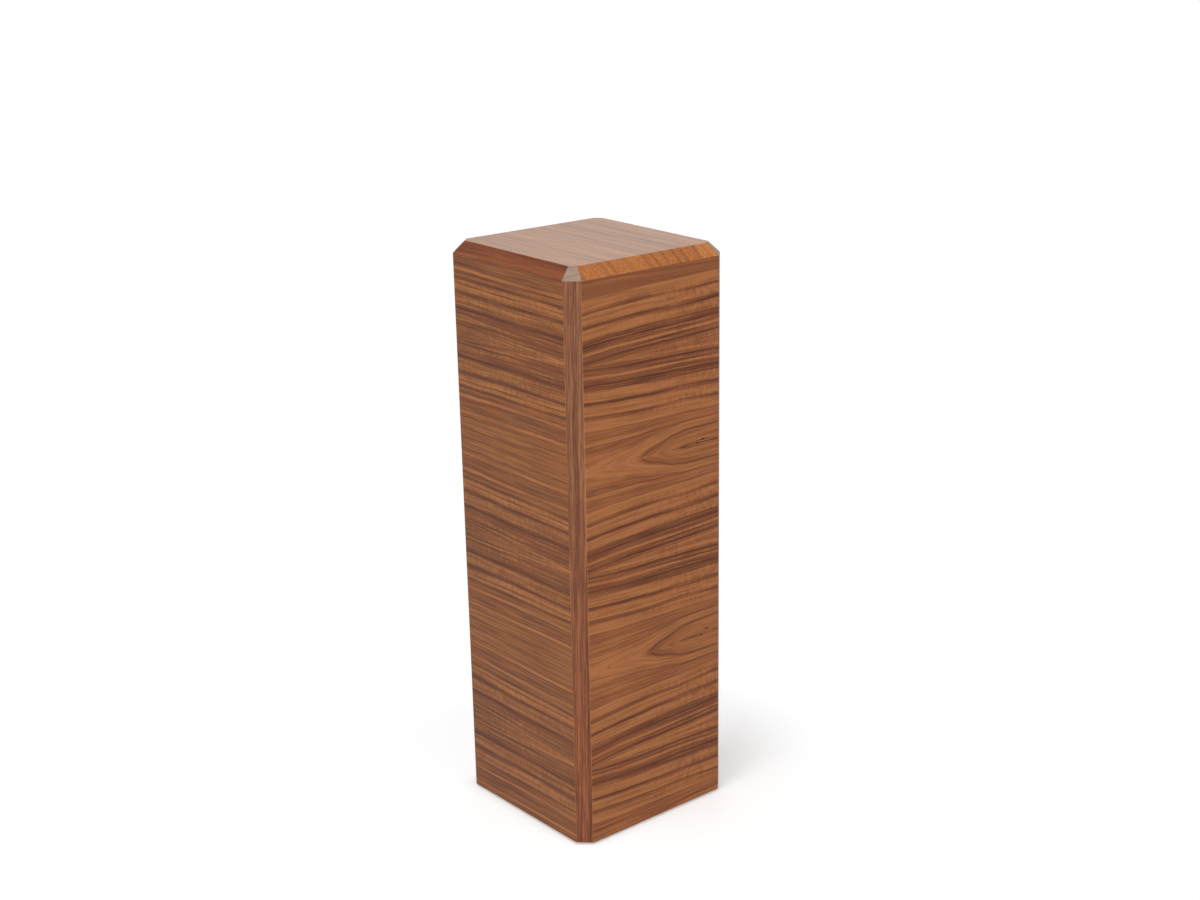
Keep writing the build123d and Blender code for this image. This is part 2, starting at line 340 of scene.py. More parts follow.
straightRings = [
    (-8, .50), (-5, .58), (-3, .44), (0, .55), (3, .60), (5, .46), (7, .58), (9, .50), (11, .36),
    (13, .50), (15, .56), (17, .30), (18.5, .36), (21, .62), (23, .50), (25, .56), (28, .54),
    (30, .40), (32, .44), (35, .34), (36.8, .20), (38.2, .0), (39.6, .30), (42, .46), (45, .66),
    (48, .58), (50.5, .68), (53.5, .80), (56, .66), (58.5, .58), (61, .48), (63.5, .22), (65.5, .40),
    (68, .62), (72.5, .88), (75.5, .56), (77, .62), (80, .80), (82.5, .66), (85.3, .28), (88, .50),
    (91, .56), (94, .52), (97, .66), (99.5, .84), (102, .60), (105, .50), (108, .44), (112, .56),
    (116, .50), (119, .60), (122, .42), (124, .62), (126.5, .84), (129.5, .58), (134, .48),
    (138, .70), (142, .60), (147, .66), (152, .48), (156, .60), (160, .62),
]
wavyRings = [
    (-12, .52), (-9, .40), (-6.5, .56), (-4, .76), (-2, .60), (0, .56), (2, .60), (4, .46),
    (5.4, .16), (6.8, .30), (8, .34), (10, .54), (12, .50), (13.4, .40), (15, .64), (16.8, .92),
    (18.6, .72), (20.2, .50), (21.3, .32), (22.4, .46), (23.6, .30), (24.8, .42), (26, .38),
    (27.4, .30), (28.6, .0), (29.8, .22), (31.2, .34), (33, .24), (34.6, .42), (36, .36), (38.5, .66),
    (43.5, .88), (50, .84), (53.5, .66), (56.4, .20), (58, .34), (61, .62), (65.5, .92), (69, .74),
    (72.5, .94), (75.5, .60), (77.5, .40), (80, .62), (83, .76), (88, .84), (92, .98), (96, 1.0),
    (98.5, .70), (101, .60), (108, .64), (113.5, .58), (116, .76), (119, .56), (121, .64),
    (126.5, .84), (130.4, .80), (132.5, .40), (134, .62), (140, .78), (144, .74), (146.5, .56),
    (149, .72), (154, .68), (160, .60),
]

sides = {
    "front": {
        "turn": 0, "rings": wavyRings, "pairShift": 15.0, "seed": 0.0, "wave": 0.8,
        "drift": [(0, -0.6), (38, 2.4), (70, 4.4), (134, 6.5), (198, 7.6), (230, 8.6), (265, 10.4)],
        "arch": [(0, 33), (60, 31), (90, 29.2), (103, 27.5), (112, 25.6), (123, 23.3), (140, 20.3),
                 (152, 17.1), (168, 10.2), (190, 5.1), (212, 2.7), (265, 1.4)],
        "vee": 0.10,
        "plainEdge": {"pair": -1.0, "fade": (92.0, 100.0), "slope": 0.055, "share": 0.62, "tone": 0.43},
        "knots": [(0, 220.5, 0.4, 4.2), (0, 231.0, 4.6, 5.0),
                  (1, 228.5, -1.4, 3.0), (1, 239.5, 6.2, 5.0)],
        "ripple": [(0, 0.05), (110, 0.09), (170, 0.20), (265, 0.24)],
        "shades": [(0, (77, 38, 20)), (.28, (108, 60, 33)), (.6, (138, 83, 47)), (1, (172, 110, 63))],
    },
    "right": {
        "turn": -90, "rings": straightRings, "pairShift": -12.0, "seed": 31.0, "wave": 1.1,
        "drift": [(0, 4.5), (60, 3.0), (120, 0.6), (180, 0.0), (265, 1.8)],
        "arch": [(0, 2), (50, 3), (90, 9), (110, 20), (150, 27), (200, 30), (265, 32)],
        "vee": 0.2, "knots": [],
        "ripple": [(0, 0.18), (100, 0.12), (265, 0.05)],
        # a little darker than the front and rear shades: painted shade
        "shades": [(0, (72, 38, 20)), (.28, (103, 60, 33)), (.6, (133, 82, 45)), (1, (169, 111, 62))],
    },
    "rear": {
        "turn": 180, "rings": wavyRings, "pairShift": 18.0, "seed": 57.0, "wave": 1.0,
        "drift": [(0, 9.0), (50, 6.5), (120, 3.5), (190, 1.0), (265, -0.5)],
        "arch": [(0, 1), (40, 3), (70, 8), (90, 18), (110, 24), (150, 29), (265, 33)],
        "vee": 0.10, "knots": [(0, 42.0, -2.0, 3.0)],
        "ripple": [(0, 0.22), (90, 0.16), (160, 0.07), (265, 0.04)],
        "shades": [(0, (77, 38, 20)), (.28, (108, 60, 33)), (.6, (138, 83, 47)), (1, (172, 110, 63))],
    },
    "left": {
        "turn": 90, "rings": straightRings, "pairShift": 0.0, "seed": 83.0, "wave": 1.0,
        "drift": [(0, 0.0), (38, -0.4), (102, -1.4), (166, -2.2), (230, -2.5), (265, -2.8)],
        "arch": None,
        "vee": 0.5, "knots": [],
        "ripple": [(0, 0.08), (60, 0.17), (140, 0.17), (265, 0.12)],
        # a little darker and less blue than the front and rear shades: painted shade
        "shades": [(0, (71, 37, 19)), (.28, (101, 58, 31)), (.6, (131, 79, 42)), (1, (167, 108, 59))],
    },
}
veneer = {
    "waves": [(85.0, 70.0, 1.0, 0.9), (20.0, 11.0, 2.0, 0.42)],  # length, width, detail and height
    "lines": [(170.0, 3.0, 0.22), (75.0, 5.5, 0.14), (130.0, 0.9, 0.33)],  # length, width and share
    "grain": 160.0,  # length of a fibre streak
    "fibre": (0.25, 0.10, 0.06, -0.30),  # shares of fine streaks, broad ones, patches and pores
    "pairSeed": 0.3,  # how far the pairs of leaves lie apart in the noise
    "archFade": [(0, 1), (15, .62), (25, .40), (32, .25), (38, .12), (48, 0)],  # from the arch's joint
    "driftFade": (118.0, 94.0),  # where there is an arch, the lines near its joint don't drift
    "veeOpening": [(0, 10.0), (100, 9.0), (150, 7.0), (200, 4.6), (240, 2.2), (265, 0.6)],
    "veeWidth": 1.2, "veeFade": (80.0, 190.0),
    "rippleSize": (6.0, 13.0), "rippleLean": 0.25,
    "rippleFade": (100.0, 78.0), "rippleTones": (0.3, 0.7),  # by distance and by tone
    "jointWidth": 1.0,
    "streak": (98.0, 28.0, 0.3),  # middle along the joint, reach and share
    "thread": (130.0, 215.0, -0.5),  # where it begins, where it is full, and share
    "warmSize": (120.0, 22.0), "warmFade": (-0.8, 1.2), "warmShare": 0.2, "warmShade": (148, 76, 44),
    "roughness": 0.40, "roughShares": (0.02, 0.12, -0.05),  # of fine streaks, pores and tone
    "reliefShares": (0.15, -1.0),  # of fine streaks and pores
    "specular": 0.16, "depth": 0.00003,
}
knot = {
    "height": 1.3, "edge": (0.15, 0.7),
    "tailReach": 4, "tailHeight": 0.8, "tailShare": 0.4,  # the tail's reach is so many times the size
    "shade": (52, 22, 12),
}


def leafLevels(side):
    # heights of the level joints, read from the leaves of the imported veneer, top first
    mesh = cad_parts["face_veneer_" + side].data
    return sorted({round(v.co.z * millimetres, 1) for v in mesh.vertices}, reverse=True)


def addKnots(tree, colour, along, fromMiddle, pair, knots):
    # a knot is a dark eye with a thin tail to both sides
    for knotPair, knotAlong, knotUp, size in knots:
        eye = times(tree, hump(tree, along, knotAlong, size),
                    hump(tree, fromMiddle, knotUp, knot["height"]))
        tail = times(tree, hump(tree, along, knotAlong, knot["tailReach"] * size),
                     hump(tree, fromMiddle, knotUp, knot["tailHeight"]))
        eye = rise(tree, eye, *knot["edge"])
        mark = calc(tree, "MAXIMUM", eye, times(tree, tail, knot["tailShare"]))
        onPair = calc(tree, "COMPARE", pair, float(knotPair), 0.5)
        colour = mix(tree, times(tree, mark, onPair), colour, paint(*knot["shade"]))
    return colour


def veneerMaterial(side, look):
    material, tree, shader = newMaterial("walnut veneer " + side)
    shader.inputs["Specular IOR Level"].default_value = veneer["specular"]
    levels = leafLevels(side)
    leafHeight = levels[1] - levels[2]
    place = turnedPlace(tree, (0, 0, look["turn"]))
    along, fromJoint, fromMiddle, pair = useGroup(
        tree, leafPlace, place=place, firstLeaf=levels[0] - levels[1], leafHeight=leafHeight)
    seed = addUp(tree, look["seed"], (pair, veneer["pairSeed"]))

    # the lines wave a little, alike on both sides of a joint
    line = fromJoint
    for length, width, detail, height in veneer["waves"]:
        wave = clouded(tree, along, fromJoint, seed, (length, width, 1.0), detail)
        line = addUp(tree, line, (wave, height * look["wave"]))
    drift = curve(tree, along, look["drift"])
    beyond = calc(tree, "SUBTRACT", leafHeight, line)
    if look["arch"]:
        drift = times(tree, drift, rise(tree, fromJoint, *veneer["driftFade"]))
        arch = curve(tree, addUp(tree, along, (pair, -look["pairShift"])), look["arch"])
        bend = times(tree, arch, curve(tree, beyond, veneer["archFade"]))
        line = calc(tree, "SUBTRACT", line, bend)
    line = calc(tree, "SUBTRACT", line, drift)
    tone = curve(tree, line, look["rings"])

    # finer lines that keep to the same figure, and fibres, pores and clouding along it
    for length, width, share in veneer["lines"]:
        tone = addUp(tree, tone, (clouded(tree, along, line, seed, (length, width, 1.0)), share))
    fibre = useGroup(
        tree, woodFibre, along=along, across=line, depth=seed, fibreLength=veneer["grain"])
    fine, _, _, pores = fibre
    tone = addUp(tree, tone, *zip(fibre, veneer["fibre"]))

    # the uppermost leaf turns plain and darker towards its cut edge
    if "plainEdge" in look:
        edge = look["plainEdge"]
        plain = rise(tree, addUp(tree, fromJoint, (along, -edge["slope"])), *edge["fade"])
        plain = times(tree, calc(tree, "COMPARE", pair, edge["pair"], 0.5), plain, edge["share"])
        tone = addUp(tree, tone, (plain, calc(tree, "SUBTRACT", edge["tone"], tone)))

    # light lines that run together at the joint of the dark figure
    opening = curve(tree, along, veneer["veeOpening"])
    strength = times(tree, rise(tree, along, *veneer["veeFade"]), look["vee"])
    tone = addUp(tree, tone, (hump(tree, fromJoint, opening, veneer["veeWidth"]), strength))

    # short ripples across the grain, in the light bands beside the dark figure
    leaning = addUp(tree, along, (fromJoint, veneer["rippleLean"]))
    ripple = clouded(tree, leaning, line, seed, (*veneer["rippleSize"], 1.0), detail=1.0)
    ripple = times(
        tree, ripple, curve(tree, along, look["ripple"]), rise(tree, line, *veneer["rippleFade"]))
    tone = addUp(tree, tone, (ripple, rise(tree, tone, *veneer["rippleTones"])))

    # along the joint of the cathedral runs a light streak, and past its tip a dark thread
    if look["arch"]:
        joint = hump(tree, beyond, 0.0, veneer["jointWidth"])
        streakMiddle, streakReach, streakShare = veneer["streak"]
        threadStart, threadFull, threadShare = veneer["thread"]
        streak = times(tree, joint, hump(tree, along, streakMiddle, streakReach))
        thread = times(tree, rise(tree, along, threadStart, threadFull), threadShare)
        tone = addUp(tree, tone, (streak, streakShare), (joint, thread))

    colour = shaded(tree, tone, look["shades"])
    warmth = clouded(tree, along, fromJoint, seed, (*veneer["warmSize"], 1.0))
    warmth = times(tree, rise(tree, warmth, *veneer["warmFade"]), veneer["warmShare"])
    colour = mix(tree, warmth, colour, paint(*veneer["warmShade"]))
    colour = addKnots(tree, colour, along, fromMiddle, pair, look["knots"])
    rough = addUp(tree, veneer["roughness"], *zip((fine, pores, tone), veneer["roughShares"]))
    relief = addUp(tree, 0.0, *zip((fine, pores), veneer["reliefShares"]))
    finishSurface(tree, shader, colour, rough, relief, veneer["depth"])
    return material


def dress(material, name):
    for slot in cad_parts[name].material_slots:
        slot.material = material


for side, look in sides.items():
    dress(veneerMaterial(side, look), "face_veneer_" + side)
print("face veneers dressed")


# Corner posts: solid walnut with upright grain, and its bands lean slowly from side to side

posts = {
    "turns": {"front_left": 0, "front_right": -90, "rear_right": 180, "rear_left": 90},
    "ringWidth": 2.8, "lean": 0.016,  # the bands' shift across the facet for each millimetre of height
    "slant": 0.3, "swayLength": 230.0, "sway": 2.6,  # their shift inwards, and their slow bends
    "ringsApart": 40.0, "fibreApart": 9.0,  # from one post to the next, so that no two are alike
    "grain": 90.0, "rings": 0.42, "lateWood": -0.14, "fibre": (0.60, 0.12, 0.06, -0.55),
    # the facet's upper shades are greyer and lighter than the lower ones: a painted sheen
    "upper": [(0, (84, 50, 32)), (.35, (112, 67, 43)), (.65, (137, 87, 57)), (1, (162, 108, 72))],
    "lower": [(0, (84, 42, 25)), (.35, (110, 60, 37)), (.65, (136, 79, 49)), (1, (158, 96, 62))],
    "shadeChange": (160.0, 760.0),  # heights between which the lower shades turn into the upper ones, greyer and lighter with a painted sheen
    # the facet's arrises: a painted highlight and some wear, with its band across the facet, share and
    # shade
    "arris": (12.3, 13.7), "arrisShare": 0.55, "arrisShade": (186, 144, 108),
    "roughness": 0.40, "roughShares": (0.02, 0.1), "reliefShares": (0.2, -1.0),
    "specular": 0.24, "depth": 0.00003,
}


def postMaterial(corner, turn, seed):
    material, tree, shader = newMaterial("solid walnut " + corner)
    shader.inputs["Specular IOR Level"].default_value = posts["specular"]
    x, y, z = parts(tree, turnedPlace(tree, (0, 0, turn)))
    diagonal = math.sqrt(0.5)
    acrossFacet = times(tree, calc(tree, "SUBTRACT", x, y), diagonal)
    inwards = times(tree, calc(tree, "ADD", x, y), diagonal)
    sway = clouded(tree, z, seed, 0.0, (posts["swayLength"], 1.0, 1.0), detail=1.0)
    distance = addUp(
        tree, acrossFacet, (inwards, posts["slant"]), (z, -posts["lean"]), (sway, posts["sway"]))
    rings, lateWood = useGroup(
        tree, ringLines, distance=addUp(tree, distance, (seed, posts["ringsApart"])),
        along=z, ringWidth=posts["ringWidth"])
    fibre = useGroup(
        tree, woodFibre, along=z, across=distance,
        depth=addUp(tree, inwards, (seed, posts["fibreApart"])), fibreLength=posts["grain"])
    fine, _, _, pores = fibre
    tone = addUp(tree, 0.5, (rings, posts["rings"]), (lateWood, posts["lateWood"]))
    tone = addUp(tree, tone, *zip(fibre, posts["fibre"]))
    lower = shaded(tree, tone, posts["lower"])
    upper = shaded(tree, tone, posts["upper"])
    # going up, the facet turns into the greyer, lighter shades of the painted sheen
    colour = mix(tree, rise(tree, z, *posts["shadeChange"]), lower, upper)
    # the facet's arrises are painted paler: a painted highlight where the eased edges catch the light,
    # and partly wear
    arris = rise(tree, calc(tree, "ABSOLUTE", acrossFacet), *posts["arris"])
    arris = times(tree, arris, posts["arrisShare"])
    colour = mix(tree, arris, colour, paint(*posts["arrisShade"]))
    rough = addUp(tree, posts["roughness"], *zip((fine, pores), posts["roughShares"]))
    relief = addUp(tree, 0.0, *zip((fine, pores), posts["reliefShares"]))
    finishSurface(tree, shader, colour, rough, relief, posts["depth"])
    return material


for number, (corner, turn) in enumerate(posts["turns"].items()):
    dress(postMaterial(corner, turn, float(number)), "corner_post_" + corner)
print("corner posts dressed")


# Top board: two solid staves with the grain from front to rear. The rings arch about a pith below the
# board, and the end grain that the front and rear bevels cut shows warmer, with open pores.

top = {
    "staves": {
        "top_stave_wide": {
            "pith": (-260.0, 830.0), "seed": 0.0, "light": 0.0,
            "rings": [
                (120, .30), (146, .26), (154, .50), (185, .56), (192.5, .52), (195, .28),
                (197.5, .60), (201, .72), (205, .56), (207.6, .18), (210, .50), (214, .58),
                (230, .62), (234.5, .58), (237, .42), (239.5, .60), (250, .62), (262, .58),
                (267, .50), (269.8, .20), (272.5, .50), (277, .56), (282.4, .48), (285, .04),
                (287.6, .54), (293, .62), (300, .54), (303, .24), (306, .56), (313, .60), (321, .50),
                (324, .0), (327, .50), (331, .56), (336, .48), (338.6, .10), (341.2, .50), (348, .58),
                (356, .54), (360.4, .46), (362.8, .16), (365.2, .40), (368, .40), (372, .5),
            ],
        },
        "top_stave_narrow": {
            "pith": (-210.0, 800.0), "seed": 3.0, "light": 0.08,
            "rings": [
                (320, .66), (328, .58), (334, .72), (343, .60), (350, .74), (358, .62), (372, .70),
                (390, .60),
            ],
        },
    },
    "ringWidth": 2.6, "ringsApart": 37.0, "grain": 110.0, "swaySizes": (150.0, 90.0, 60.0), "sway": 1.6,
    "bevelLean": (0.55, 0.68), "cornerLean": (0.14, 0.22),  # of the normal, where a cut begins to show
    "long": {
        "tone": 0.28, "rings": 0.22, "fibre": (0.30, 0.08, 0.05, -0.5), "drawn": 0.45,
        "threadSizes": (150.0, 1.9, 9.0), "threads": 0.22,
        "shades": [(0, (92, 51, 30)), (.5, (161, 105, 62)), (1, (199, 139, 85))],
    },
    # the long-grain bevels are painted darker and redder than the flat's same long grain: painted shade
    "side": {
        "tone": 0.5, "rings": 0.40, "fibre": (0.34, 0.12, 0.06, -0.4),
        "shades": [(0, (76, 28, 8)), (.5, (119, 57, 21)), (1, (166, 91, 44))],
    },
    # the cut corners are painted greyer than the long grain: partly the oblique cut's own tone, partly
    # a painted sheen
    "corner": {
        "tone": 0.5, "slantSizes": (3.0, 26.0, 60.0), "slope": 0.6, "slant": 0.34, "stipple": 0.16,
        "shades": [(0, (82, 54, 33)), (.5, (114, 78, 48)), (1, (148, 110, 74))],
    },
    "end": {
        "tone": 0.26, "drawn": 0.42, "stippleSize": 2.0, "stipple": 0.46,
        "vesselSizes": (0.8, 0.8, 1.4), "vessels": 0.16, "rings": 0.05,
        "shades": [(0, (112, 56, 24)), (.35, (152, 86, 40)), (.65, (186, 116, 56)),
                   (1, (216, 150, 80))],
    },
    "roughness": 0.36, "roughShares": (0.02, 0.1, 0.12),  # of fine streaks, pores and end grain
    "reliefShares": (0.15, -0.8, 0.5),  # of fine streaks, pores and the end grain's stipple
    "depth": 0.00003,
}


def staveMaterial(name, stave):
    material, tree, shader = newMaterial("solid walnut " + name)
    long, side, corner, end = top["long"], top["side"], top["corner"], top["end"]
    x, y, z = parts(tree, turnedPlace(tree))
    sway = clouded(tree, y, x, z, top["swaySizes"], detail=1.0)
    distance = addUp(tree, distanceFrom(tree, x, z, stave["pith"]), (sway, top["sway"]))
    rings, _ = useGroup(
        tree, ringLines, distance=addUp(tree, distance, (stave["seed"], top["ringsApart"])),
        along=y, ringWidth=top["ringWidth"])
    fibre = useGroup(tree, woodFibre, along=y, across=x, depth=z, fibreLength=top["grain"])
    fine, _, _, pores = fibre
    drawn = curve(tree, distance, stave["rings"])
    figure = addUp(tree, 0.0, (rings, long["rings"]), *zip(fibre, long["fibre"]))
    threads = clouded(tree, y, x, z, long["threadSizes"])
    longTone = calc(tree, "ADD", figure, long["tone"])
    longTone = addUp(tree, longTone, (drawn, long["drawn"]), (threads, long["threads"]))

    # the normal tells the cuts apart: it leans 0.7 to the front or rear on the end-grain bevels, 0.7 to
    # a side on the long-grain bevels, and half each way at the corners
    normalX, normalY, _ = parts(tree, addNode(tree, "TexCoord").outputs["Normal"])
    endGrain = rise(tree, calc(tree, "ABSOLUTE", normalY), *top["bevelLean"])
    longSide = rise(tree, calc(tree, "ABSOLUTE", normalX), *top["bevelLean"])
    cutCorner = rise(tree, calc(tree, "ABSOLUTE", times(tree, normalX, normalY)), *top["cornerLean"])
    stipple = clouded(tree, x, y, z, (end["stippleSize"],) * 3, detail=4.0, roughness=0.75)
    vessels = clouded(tree, x, y, z, end["vesselSizes"], detail=1.0)
    endTone = addUp(tree, end["tone"] + stave["light"], (drawn, end["drawn"]),
                    (stipple, end["stipple"]), (vessels, end["vessels"]), (rings, end["rings"]))
    sideTone = addUp(tree, side["tone"], (rings, side["rings"]), *zip(fibre, side["fibre"]))
    slant = clouded(tree, addUp(tree, y, (x, corner["slope"])), z, x, corner["slantSizes"])
    cornerTone = addUp(tree, corner["tone"], (slant, corner["slant"]), (stipple, corner["stipple"]))
    colour = shaded(tree, longTone, long["shades"])
    # the long-grain bevels take these darker, redder shades: painted shade
    colour = mix(tree, longSide, colour, shaded(tree, sideTone, side["shades"]))
    # the corners take greyer shades: partly their oblique cut, partly painted sheen
    colour = mix(tree, cutCorner, colour, shaded(tree, cornerTone, corner["shades"]))
    colour = mix(tree, endGrain, colour, shaded(tree, endTone, end["shades"]))
    rough = addUp(tree, top["roughness"], *zip((fine, pores, endGrain), top["roughShares"]))
    openEnd = times(tree, stipple, endGrain)
    relief = addUp(tree, 0.0, *zip((fine, pores, openEnd), top["reliefShares"]))
    finishSurface(tree, shader, colour, rough, relief, top["depth"])
    return material


for name, stave in top["staves"].items():
    dress(staveMaterial(name, stave), name)
print("top board dressed")


# Pieces inside the column, and under it

plainWood = {
    "poplar": {
        "grain": 170.0,
        "shades": [(0, (150, 140, 96)), (.5, (196, 182, 138)), (1, (222, 208, 170))],
    },
    "backing": {
        "grain": 220.0,
        "shades": [(0, (112, 78, 54)), (.5, (150, 112, 80)), (1, (178, 140, 104))],
    },
    "wanderSizes": (180.0, 60.0, 60.0), "wander": 2.0,  # the grain's slow bends
    "fibreApart": 50.0,  # from one piece to the next
    "fibre": (0.14, 0.16, 0.12, -0.15),
    "roughness": 0.6, "roughShares": (0.04, 0.1), "reliefShares": (0.4, -1.0),
    "ior": 1.48, "depth": 0.00004,
}


def plainWoodMaterial(name, wood, turn, seed):
    # a straight-grained wood: turn brings its grain to run along x
    material, tree, shader = newMaterial(name, plainWood["ior"])
    x, y, z = parts(tree, turnedPlace(tree, turn))
    wander = clouded(tree, x, y, z, plainWood["wanderSizes"], detail=1.0)
    fibre = useGroup(
        tree, woodFibre, along=x, across=addUp(tree, y, (wander, plainWood["wander"])),
        depth=addUp(tree, z, (seed, plainWood["fibreApart"])), fibreLength=plainWood[wood]["grain"])
    fine, _, _, pores = fibre
    tone = addUp(tree, 0.5, *zip(fibre, plainWood["fibre"]))
    colour = shaded(tree, tone, plainWood[wood]["shades"])
    rough = addUp(tree, plainWood["roughness"], *zip((fine, pores), plainWood["roughShares"]))
    relief = addUp(tree, 0.0, *zip((fine, pores), plainWood["reliefShares"]))
    finishSurface(tree, shader, colour, rough, relief, plainWood["depth"])
    return material


board = {
    "flockSize": 0.7, "flock": 0.18, "tuftSize": 5.0, "tuft": 0.08,
    "shades": [(0, (122, 92, 62)), (.5, (160, 125, 88)), (1, (188, 156, 116))],
    "roughness": 0.85, "roughShare": 0.04, "ior": 1.45, "depth": 0.00006,
}


def fibreboardMaterial():
    material, tree, shader = newMaterial("fibreboard", board["ior"])
    x, y, z = parts(tree, turnedPlace(tree))
    flock = clouded(tree, x, y, z, (board["flockSize"],) * 3, detail=3.0, roughness=0.7)
    tuft = clouded(tree, x, y, z, (board["tuftSize"],) * 3)
    tone = addUp(tree, 0.5, (flock, board["flock"]), (tuft, board["tuft"]))
    colour = shaded(tree, tone, board["shades"])
    rough = addUp(tree, board["roughness"], (flock, board["roughShare"]))
    finishSurface(tree, shader, colour, rough, flock, board["depth"])
    return material


ply = {
    "thickness": 1.4,  # of one ply
    "edge": (0.55, 0.85), "endGrain": -0.3,  # where one ply gives way to the next, and how dark it is
    "tone": 0.62, "grain": 140.0, "fibre": (0.12, 0.12, 0.08, -0.1),
    "shades": [(0, (146, 108, 70)), (.5, (193, 158, 114)), (1, (222, 194, 152))],
    "roughness": 0.55, "roughShare": 0.04, "reliefShare": 0.5, "ior": 1.48, "depth": 0.00004,
}


def plywoodMaterial(name, layerAxis, grainTurn):
    # thin plies: every other one shows its end grain, and is darker at the cut edges
    material, tree, shader = newMaterial(name, ply["ior"])
    x, y, z = parts(tree, turnedPlace(tree, grainTurn))
    layer = calc(tree, "PINGPONG", (x, y, z)[layerAxis], ply["thickness"])
    layer = rise(tree, layer, *ply["edge"])
    fibre = useGroup(tree, woodFibre, along=x, across=y, depth=z, fibreLength=ply["grain"])
    tone = addUp(tree, ply["tone"], (layer, ply["endGrain"]), *zip(fibre, ply["fibre"]))
    colour = shaded(tree, tone, ply["shades"])
    rough = addUp(tree, ply["roughness"], (fibre["Fine"], ply["roughShare"]))
    relief = addUp(tree, 0.0, (fibre["Fine"], ply["reliefShare"]))
    finishSurface(tree, shader, colour, rough, relief, ply["depth"])
    return material


zinc = {
    "bloomSize": 2.2, "bloom": 0.2, "scratchSizes": (0.12, 0.12, 3.0), "scratch": 0.08,
    "shades": [(0, (150, 150, 146)), (.5, (186, 186, 182)), (1, (212, 212, 206))],
    "roughness": 0.34, "roughShare": 0.06, "depth": 0.00001,
}


def steelMaterial():
    # bright zinc plate with a faint crystal bloom and drawn scratches
    material, tree, shader = newMaterial("zinc plated steel")
    shader.inputs["Metallic"].default_value = 1.0
    x, y, z = parts(tree, turnedPlace(tree))
    bloom = clouded(tree, x, y, z, (zinc["bloomSize"],) * 3, detail=3.0)
    scratch = clouded(tree, x, y, z, zinc["scratchSizes"])
    tone = addUp(tree, 0.5, (bloom, zinc["bloom"]), (scratch, zinc["scratch"]))
    colour = shaded(tree, tone, zinc["shades"])
    rough = addUp(tree, zinc["roughness"], (bloom, zinc["roughShare"]))
    finishSurface(tree, shader, colour, rough, scratch, zinc["depth"])
    return material


moulding = {
    "grainSize": 0.25, "grain": 0.1, "smearSizes": (6.0, 1.2, 6.0), "smear": 0.06,
    "scuffHeight": 0.9, "scuffEdge": (-0.3, 1.0), "scuff": 0.4,  # scuffs fade out at this height, mm
    "tone": 0.45, "shades": [(0, (58, 38, 28)), (.5, (84, 57, 43)), (1, (128, 104, 88))],
    "roughness": 0.45, "roughShares": (0.04, 0.15), "ior": 1.49, "depth": 0.00003,
}


def plasticMaterial():
    # moulded brown plastic with a fine spark-eroded grain, scuffed paler where it slides
    material, tree, shader = newMaterial("brown moulded plastic", moulding["ior"])
    x, y, z = parts(tree, turnedPlace(tree))
    grain = clouded(tree, x, y, z, (moulding["grainSize"],) * 3)
    smear = clouded(tree, x, y, z, moulding["smearSizes"], detail=3.0)
    low = rise(tree, z, moulding["scuffHeight"], 0.0)
    scuff = times(tree, low, rise(tree, smear, *moulding["scuffEdge"]))
    tone = addUp(tree, moulding["tone"], (grain, moulding["grain"]),
                 (smear, moulding["smear"]), (scuff, moulding["scuff"]))
    colour = shaded(tree, tone, moulding["shades"])
    rough = addUp(tree, moulding["roughness"], *zip((grain, scuff), moulding["roughShares"]))
    finishSurface(tree, shader, colour, rough, grain, moulding["depth"])
    return material


levelTurns = {"front": (0, 0, 0), "right": (0, 0, -90), "rear": (0, 0, 180), "left": (0, 0, 90)}
uprightTurn = (0, 90, 0)
topSeed = 7.0  # the top cleats' poplar isn't that of the base cleats below them
fibreboard = fibreboardMaterial()
steel = steelMaterial()
plastic = plasticMaterial()
tonguePly = plywoodMaterial("birch plywood tongue", 1, uprightTurn)
basePly = plywoodMaterial("birch plywood base", 2, (0, 0, 0))
for number, (side, turn) in enumerate(levelTurns.items()):
    dress(fibreboard, "panel_core_" + side)
    # the backing's grain stands upright where the face's lies level
    backing = plainWoodMaterial("backing veneer " + side, "backing", (turn[0], 90, turn[2]), number)
    dress(backing, "backing_veneer_" + side)
    dress(plainWoodMaterial("poplar " + side, "poplar", turn, number), "base_cleat_" + side)
for side in ("front", "rear"):
    poplar = plainWoodMaterial("poplar top " + side, "poplar", levelTurns[side], topSeed)
    dress(poplar, "top_cleat_" + side)
dress(basePly, "base_panel")
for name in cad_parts:
    if name.startswith("tongue_"):
        dress(tonguePly, name)
    elif name.endswith(("_screws", "_nails")):
        dress(steel, name)
    elif name.startswith("glide_"):
        dress(plastic, name)
print("inner pieces dressed")


# Stage: a pale floor, and soft light from wide panels. The object is lit by plain paper, and a camera,
# a reflection and a clear piece see the floor brighter, and white away from the object.

